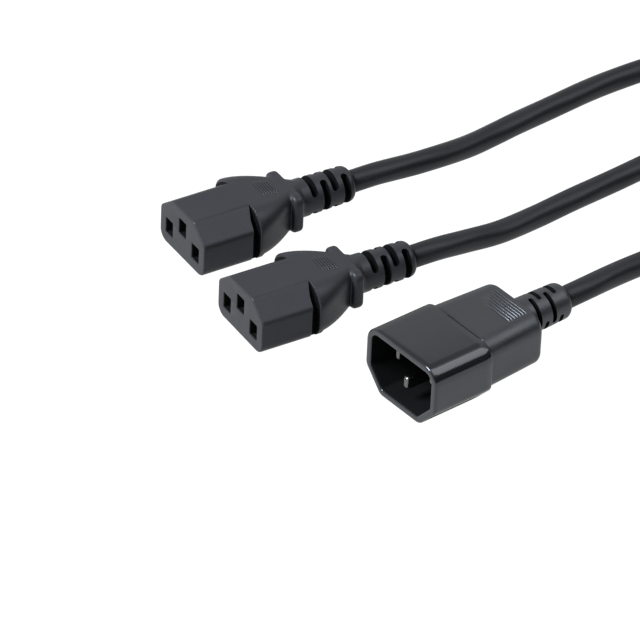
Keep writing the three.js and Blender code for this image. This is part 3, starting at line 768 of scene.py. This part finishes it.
def junction_overmould():
    """The Y moulding, wide at the legs, with a short strain relief for each cord."""
    half, axis, edge = JUNCTION["length"] / 2, JUNCTION["height"] / 2, JUNCTION["edge"]
    sections = []
    for step in range(17):
        share = step / 16
        width = mixed(JUNCTION["leg_width"], JUNCTION["tail_width"], share * share * (3 - 2 * share))
        sections.append((mixed(-half, half, share), junction_outline(width)))
    angles = [math.pi / 2 * i / 4 for i in range(1, 5)]
    ends = [(edge * math.sin(a), edge * (1 - math.cos(a))) for a in angles]
    front = [(-half - x, junction_outline(JUNCTION["leg_width"], by)) for x, by in ends]
    back = [(half + x, junction_outline(JUNCTION["tail_width"], by)) for x, by in ends]
    body = loft("junction", front[::-1] + sections + back)
    add(body, relief("tail", half, half + JUNCTION["tail_collar"], 0, axis))
    for y in (-JUNCTION["leg_spacing"] / 2, JUNCTION["leg_spacing"] / 2):
        collar = relief("collar", half, half + JUNCTION["leg_collar"], -y, axis)
        collar.data.transform(Matrix.Rotation(math.pi, 4, "Z"))
        add(body, collar)
    soften(body, 0.3, 4)
    thin_out(body, 0.4)
    shade(body, 60)
    return body


# Materials

def material(name):
    made = bpy.data.materials.new(name)
    made.use_nodes = True
    nodes, links = made.node_tree.nodes, made.node_tree.links
    shader = nodes["Principled BSDF"]
    where = nodes.new("ShaderNodeTexCoord")
    return made, nodes, links, shader, where


def noise(nodes, links, vector, scale, detail=2.0, roughness=0.5):
    made = nodes.new("ShaderNodeTexNoise")
    made.inputs["Scale"].default_value = scale
    made.inputs["Detail"].default_value = detail
    made.inputs["Roughness"].default_value = roughness
    links.new(vector, made.inputs["Vector"])
    return made


def spread(nodes, links, source, low, high):
    made = nodes.new("ShaderNodeMapRange")
    made.inputs["From Min"].default_value = 0.3
    made.inputs["From Max"].default_value = 0.7
    made.inputs["To Min"].default_value = low
    made.inputs["To Max"].default_value = high
    links.new(source, made.inputs["Value"])
    return made


def tint(nodes, links, source, dark, light):
    made = nodes.new("ShaderNodeMix")
    made.data_type = "RGBA"
    made.inputs["A"].default_value = (*dark, 1)
    made.inputs["B"].default_value = (*light, 1)
    links.new(source, made.inputs["Factor"])
    return made


def bump(nodes, links, height, strength, distance, under=None):
    made = nodes.new("ShaderNodeBump")
    made.inputs["Strength"].default_value = strength
    made.inputs["Distance"].default_value = distance
    links.new(height, made.inputs["Height"])
    if under is not None:
        links.new(under.outputs["Normal"], made.inputs["Normal"])
    return made


SHEEN_TINT = (0.88, 0.93, 1.0, 1)


def moulded(name, dark, light, rough, grain, grain_height, wave_height, specular):
    """Black moulded plastic: fine eroded grain, faint flow variation and uneven gloss."""
    made, nodes, links, shader, where = material(name)
    shader.inputs["Specular IOR Level"].default_value = specular
    shader.inputs["Specular Tint"].default_value = SHEEN_TINT
    fine = noise(nodes, links, where.outputs["Object"], grain, 3)
    flow = noise(nodes, links, where.outputs["Object"], 90, 3)
    slow = noise(nodes, links, where.outputs["Object"], 160, 1)
    colour = tint(nodes, links, flow.outputs["Fac"], dark, light)
    links.new(colour.outputs["Result"], shader.inputs["Base Color"])
    gloss = spread(nodes, links, flow.outputs["Fac"], rough[0], rough[1])
    links.new(gloss.outputs["Result"], shader.inputs["Roughness"])
    wave = bump(nodes, links, slow.outputs["Fac"], 1, wave_height)
    fine_bump = bump(nodes, links, fine.outputs["Fac"], 1, grain_height, wave)
    links.new(fine_bump.outputs["Normal"], shader.inputs["Normal"])
    return made


def sheath_material():
    """Satin extruded sheath: fine lines along the cord and a faint grain."""
    made, nodes, links, shader, where = material("cord_sheath")
    shader.inputs["Specular IOR Level"].default_value = 0.3
    shader.inputs["Specular Tint"].default_value = SHEEN_TINT
    stretch = nodes.new("ShaderNodeMapping")
    stretch.inputs["Scale"].default_value = (14, 20, 1)
    links.new(where.outputs["UV"], stretch.inputs["Vector"])
    lines = noise(nodes, links, stretch.outputs["Vector"], 4, 3)
    fine = noise(nodes, links, where.outputs["Object"], 2600, 2)
    flow = noise(nodes, links, where.outputs["Object"], 60, 2)
    colour = tint(nodes, links, flow.outputs["Fac"], (0.013, 0.013, 0.0145), (0.02, 0.02, 0.022))
    links.new(colour.outputs["Result"], shader.inputs["Base Color"])
    gloss = spread(nodes, links, lines.outputs["Fac"], 0.3, 0.42)
    links.new(gloss.outputs["Result"], shader.inputs["Roughness"])
    first = bump(nodes, links, lines.outputs["Fac"], 1, 0.00003)
    second = bump(nodes, links, fine.outputs["Fac"], 1, 0.00001, first)
    links.new(second.outputs["Normal"], shader.inputs["Normal"])
    return made


def metal(name, dark, light, rough):
    """Drawn metal with fine lines along its length and faint tarnish."""
    made, nodes, links, shader, where = material(name)
    shader.inputs["Metallic"].default_value = 1
    stretch = nodes.new("ShaderNodeMapping")
    stretch.inputs["Scale"].default_value = (150, 3000, 3000)
    links.new(where.outputs["Object"], stretch.inputs["Vector"])
    lines = noise(nodes, links, stretch.outputs["Vector"], 1, 2)
    flow = noise(nodes, links, where.outputs["Object"], 350, 2)
    colour = tint(nodes, links, flow.outputs["Fac"], dark, light)
    links.new(colour.outputs["Result"], shader.inputs["Base Color"])
    gloss = spread(nodes, links, lines.outputs["Fac"], rough[0], rough[1])
    links.new(gloss.outputs["Result"], shader.inputs["Roughness"])
    drawn = bump(nodes, links, lines.outputs["Fac"], 1, 0.00001)
    links.new(drawn.outputs["Normal"], shader.inputs["Normal"])
    return made


overmould_material = moulded(
    "overmould", dark=(0.027, 0.0266, 0.0305), light=(0.034, 0.0336, 0.0385), rough=(0.33, 0.43),
    grain=2300, grain_height=0.00004, wave_height=0.00006, specular=0.26,
)
grip_material = moulded(
    "grip", dark=(0.019, 0.0195, 0.022), light=(0.025, 0.0255, 0.029), rough=(0.32, 0.44),
    grain=2100, grain_height=0.00005, wave_height=0.00006, specular=0.8,
)
shroud_material = moulded(
    "shroud", dark=(0.01, 0.0103, 0.0115), light=(0.014, 0.0144, 0.016), rough=(0.1, 0.15),
    grain=1500, grain_height=0.000002, wave_height=0.00002, specular=0.8,
)
# Painted shade: a near-black, dull copy of the moulding for the walls and floors of grooves, openings,
# slots and the plug's cavity. It is darker than the plastic is and stands in for the shade that falls
# there.
recess_shade_material = moulded(
    "recess", dark=(0.004, 0.004, 0.0042), light=(0.006, 0.006, 0.0063), rough=(0.6, 0.7),
    grain=2300, grain_height=0.00003, wave_height=0.00003, specular=0.1,
)
carrier_material = moulded(
    "carrier", dark=(0.006, 0.006, 0.006), light=(0.01, 0.01, 0.01), rough=(0.5, 0.62),
    grain=2600, grain_height=0.00003, wave_height=0.00003, specular=0.3,
)
cord_material = sheath_material()
brass_material = metal("contact_brass", dark=(0.45, 0.3, 0.12), light=(0.62, 0.44, 0.2), rough=(0.28, 0.42))
# Nickel blades whose colour is darkened far below bright nickel: painted shade standing in for the dark
# cavity they sit in.
nickel_shaded_pin_material = metal(
    "pin_nickel_painted_shade", dark=(0.15, 0.148, 0.142), light=(0.21, 0.207, 0.2), rough=(0.16, 0.26),
)


# Pieces

PLUG_PLACE = (-229, -62.2, 0)
SOCKET_PLACES = {"socket_a": (-232.9, 26.4, -7.8), "socket_b": (-242, -10.6, -8.4)}


def finish_piece(obj, name, node, look, spot=None):
    """Names, places and dresses a piece and lets it stand for its solid."""
    obj.name = name
    obj.data.name = name
    if spot is not None:
        place(obj, *spot)
    marks = [face.material_index for face in obj.data.polygons]
    obj.data.materials.clear()
    for part_look in look if isinstance(look, tuple) else (look,):
        obj.data.materials.append(part_look)
    obj.data.polygons.foreach_set("material_index", marks)
    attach(obj, "root")
    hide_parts(node)


def dress(node, look):
    """Gives a solid that is kept as it is its material."""
    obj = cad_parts[node]
    for slot in obj.material_slots:
        slot.material = look


first_socket = socket_overmould()
second_socket = bpy.data.objects.new("socket", first_socket.data.copy())
scene.collection.objects.link(second_socket)
for obj, name in ((first_socket, "socket_a"), (second_socket, "socket_b")):
    finish_piece(
        obj, name + "_moulding", name + "_overmould", (overmould_material, recess_shade_material),
        SOCKET_PLACES[name],
    )
    dress(name + "_carrier", carrier_material)
    for pole in POLES:
        dress(f"{name}_{pole}_contact", brass_material)

finish_piece(
    plug_shroud(), "plug_shell", "plug_shroud", (shroud_material, recess_shade_material), PLUG_PLACE,
)
finish_piece(
    plug_overmould(), "plug_grip", "plug_overmould", (grip_material, recess_shade_material),
    PLUG_PLACE,
)
for pole, (y, z, tip) in PLUG_PINS.items():
    pin = plug_pin(f"plug_{pole}_blade", y, z, tip)
    finish_piece(pin, f"plug_{pole}_blade", f"plug_{pole}_pin", nickel_shaded_pin_material, PLUG_PLACE)

finish_piece(
    junction_overmould(), "junction_moulding", "junction_overmould", overmould_material,
    (0, 0, 0),
)

# Each cord leaves the junction, where its route ends.
for name, route in CORD_ROUTES.items():
    tube, line = cord_tube(name.replace("cord", "sheath"), route)
    finish_piece(tube, name.replace("cord", "sheath"), name, cord_material)


# Floor, world and lights

def ray_share(nodes, links, shares):
    """The largest of some shares of Light Path's outputs."""
    path = nodes.new("ShaderNodeLightPath")
    total = None
    for kind, share in shares.items():
        part = nodes.new("ShaderNodeMath")
        part.operation = "MULTIPLY"
        part.inputs[1].default_value = share
        links.new(path.outputs[kind], part.inputs[0])
        if total is None:
            total = part.outputs["Value"]
            continue
        larger = nodes.new("ShaderNodeMath")
        larger.operation = "MAXIMUM"
        links.new(total, larger.inputs[0])
        links.new(part.outputs["Value"], larger.inputs[1])
        total = larger.outputs["Value"]
    return total


def floor_material():
    """Pale matt board, shown white to the camera and partly so in reflections."""
    made, nodes, links, shader, where = material("floor")
    fine = noise(nodes, links, where.outputs["Object"], 40, 2)
    colour = tint(nodes, links, fine.outputs["Fac"], (0.34, 0.34, 0.34), (0.37, 0.37, 0.37))
    links.new(colour.outputs["Result"], shader.inputs["Base Color"])
    shader.inputs["Roughness"].default_value = 0.9
    glow = nodes.new("ShaderNodeEmission")
    glow.inputs["Strength"].default_value = 1.2
    mix = nodes.new("ShaderNodeMixShader")
    shown = {"Is Camera Ray": 0.86, "Is Glossy Ray": 0.52, "Is Transmission Ray": 0.86}
    links.new(ray_share(nodes, links, shown), mix.inputs["Fac"])
    links.new(shader.outputs["BSDF"], mix.inputs[1])
    links.new(glow.outputs["Emission"], mix.inputs[2])
    links.new(mix.outputs["Shader"], nodes["Material Output"].inputs["Surface"])
    return made


def blend_numbers(nodes, links, low, high, share):
    """A number between two, each a float or a node's output."""
    blend = nodes.new("ShaderNodeMix")
    for value, socket in ((low, "A"), (high, "B")):
        if isinstance(value, float):
            blend.inputs[socket].default_value = value
        else:
            links.new(value, blend.inputs[socket])
    links.new(share, blend.inputs["Factor"])
    return blend.outputs["Result"]


FLOOR_REACH = 6
FLOOR_DROP = 0.0002
floor = mesh_object("floor", [
    (-FLOOR_REACH, -FLOOR_REACH, 0), (FLOOR_REACH, -FLOOR_REACH, 0),
    (FLOOR_REACH, FLOOR_REACH, 0), (-FLOOR_REACH, FLOOR_REACH, 0),
], [(0, 1, 2, 3)])
floor.location.z = -FLOOR_DROP
floor.data.materials.append(floor_material())

# The room is dim overhead and dark towards the near horizon, as round a lit table.
world = bpy.data.worlds.new("studio")
scene.world = world
world.use_nodes = True
world_nodes, world_links = world.node_tree.nodes, world.node_tree.links
background = world_nodes["Background"]
direction = world_nodes.new("ShaderNodeTexCoord")
lean = world_nodes.new("ShaderNodeVectorMath")
lean.operation = "DOT_PRODUCT"
lean.inputs[1].default_value = (0, 0.4, 1)
world_links.new(direction.outputs["Generated"], lean.inputs[0])
room = world_nodes.new("ShaderNodeValToRGB")
ramp = room.color_ramp
ramp.elements[0].position = 0.24
ramp.elements[0].color = (0.03, 0.03, 0.03, 1)
ramp.elements[1].position = 0.5
ramp.elements[1].color = (0.5, 0.5, 0.5, 1)
for height, level in ((0.78, 0.62), (0.845, 0.6), (0.89, 0.25)):
    ramp.elements.new(height).color = (level, level, level, 1)
world_links.new(lean.outputs["Value"], room.inputs["Fac"])
reflected = ray_share(world_nodes, world_links, {"Is Glossy Ray": 1})
seen = ray_share(world_nodes, world_links, {"Is Camera Ray": 1, "Is Transmission Ray": 1})
DIFFUSE_LEVEL = 0.2
light = blend_numbers(world_nodes, world_links, DIFFUSE_LEVEL, room.outputs["Color"], reflected)
world_links.new(blend_numbers(world_nodes, world_links, light, 1.0, seen), background.inputs["Strength"])
background.inputs["Color"].default_value = (1, 1, 1, 1)


def lamp(name, at, aim, size, power, colour):
    """A softbox. Its power is in watts."""
    data = bpy.data.lights.new(name, "AREA")
    data.shape = "RECTANGLE"
    data.size, data.size_y = size
    data.energy = power
    data.color = colour
    obj = bpy.data.objects.new(name, data)
    obj.location = at
    obj.rotation_euler = (Vector(aim) - Vector(at)).to_track_quat("-Z", "Y").to_euler()
    scene.collection.objects.link(obj)


AIM = (-0.2, -0.03, 0.01)
lamp("key", at=(-1.28, 0.36, 1.28), aim=AIM, size=(0.7, 0.7), power=54, colour=(0.9, 0.95, 1.0))
lamp("overhead", at=(0.56, -0.6, 1.12), aim=AIM, size=(0.7, 1.0), power=4.6, colour=(0.96, 0.98, 1.0))

scene.view_settings.view_transform = "Standard"
